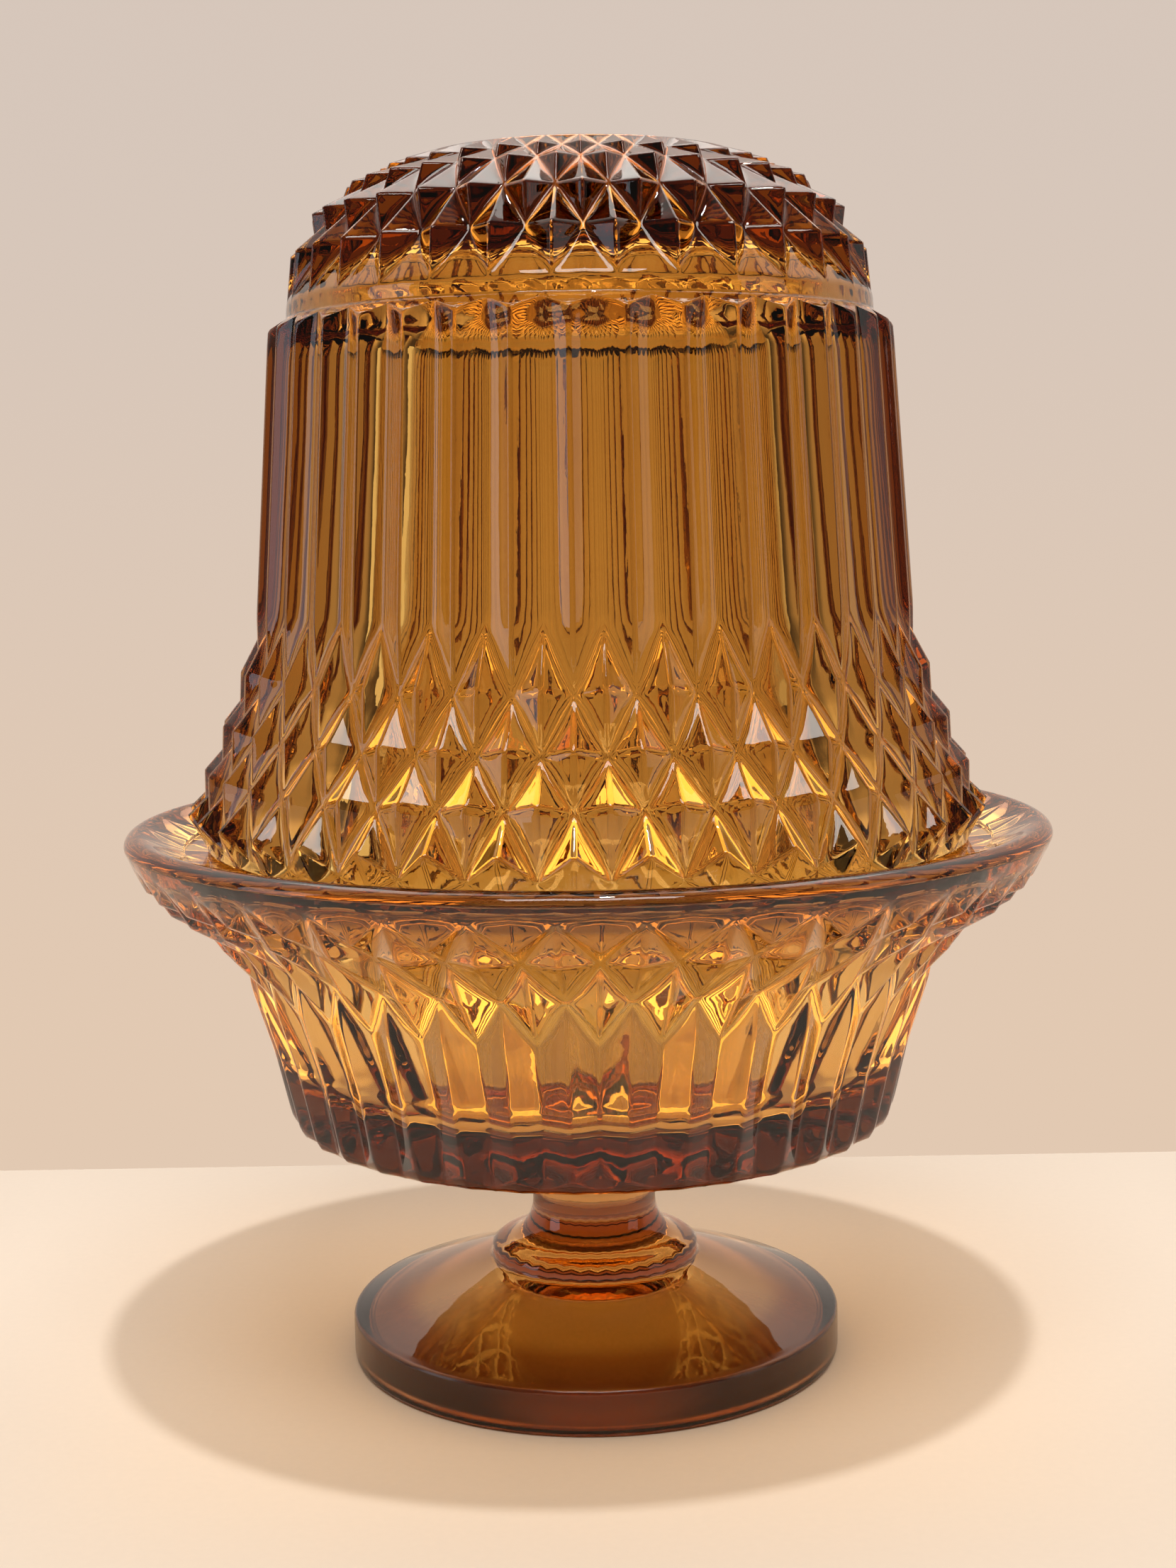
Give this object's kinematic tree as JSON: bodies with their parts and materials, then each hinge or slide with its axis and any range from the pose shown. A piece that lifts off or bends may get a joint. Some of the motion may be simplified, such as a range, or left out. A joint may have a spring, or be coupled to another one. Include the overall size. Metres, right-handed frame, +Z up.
{
  "type": "fairy lamp",
  "caption": "Footed candle lamp of pressed amber glass: a fluted bowl on a stem, a loose domed shade with a diamond-point pattern and a top vent, and a tealight inside.",
  "frame": {"origin": "centre of the foot's underside, on the table", "axes": "+Z up along the lamp's axis, -Y towards the viewer of the picture"},
  "size_m": [0.127, 0.127, 0.1656],
  "materials": {
    "bowl_glass": "fire-polished pressed amber glass",
    "shade_glass": "fire-polished pressed amber glass",
    "cup_aluminium": "thin pressed sheet",
    "wax": "paraffin wax, slightly translucent",
    "clip_steel": "thin tinned sheet",
    "wick_cotton": "braided cotton"
  },
  "bodies": {
    "base": {"footed_bowl": "bowl_glass"},
    "shade": {"shade": "shade_glass"},
    "candle": {"tealight_cup": "cup_aluminium", "wax": "wax", "wick_clip": "clip_steel", "wick": "wick_cotton"}
  },
  "joints": [
    {"name": "shade_lift", "type": "slide", "parent": "base", "child": "shade", "axis": [0, 0, 1], "range_m": [0, 0.15]},
    {"name": "candle_lift", "type": "slide", "parent": "base", "child": "candle", "axis": [0, 0, 1], "range_m": [0, 0.08]}
  ]
}
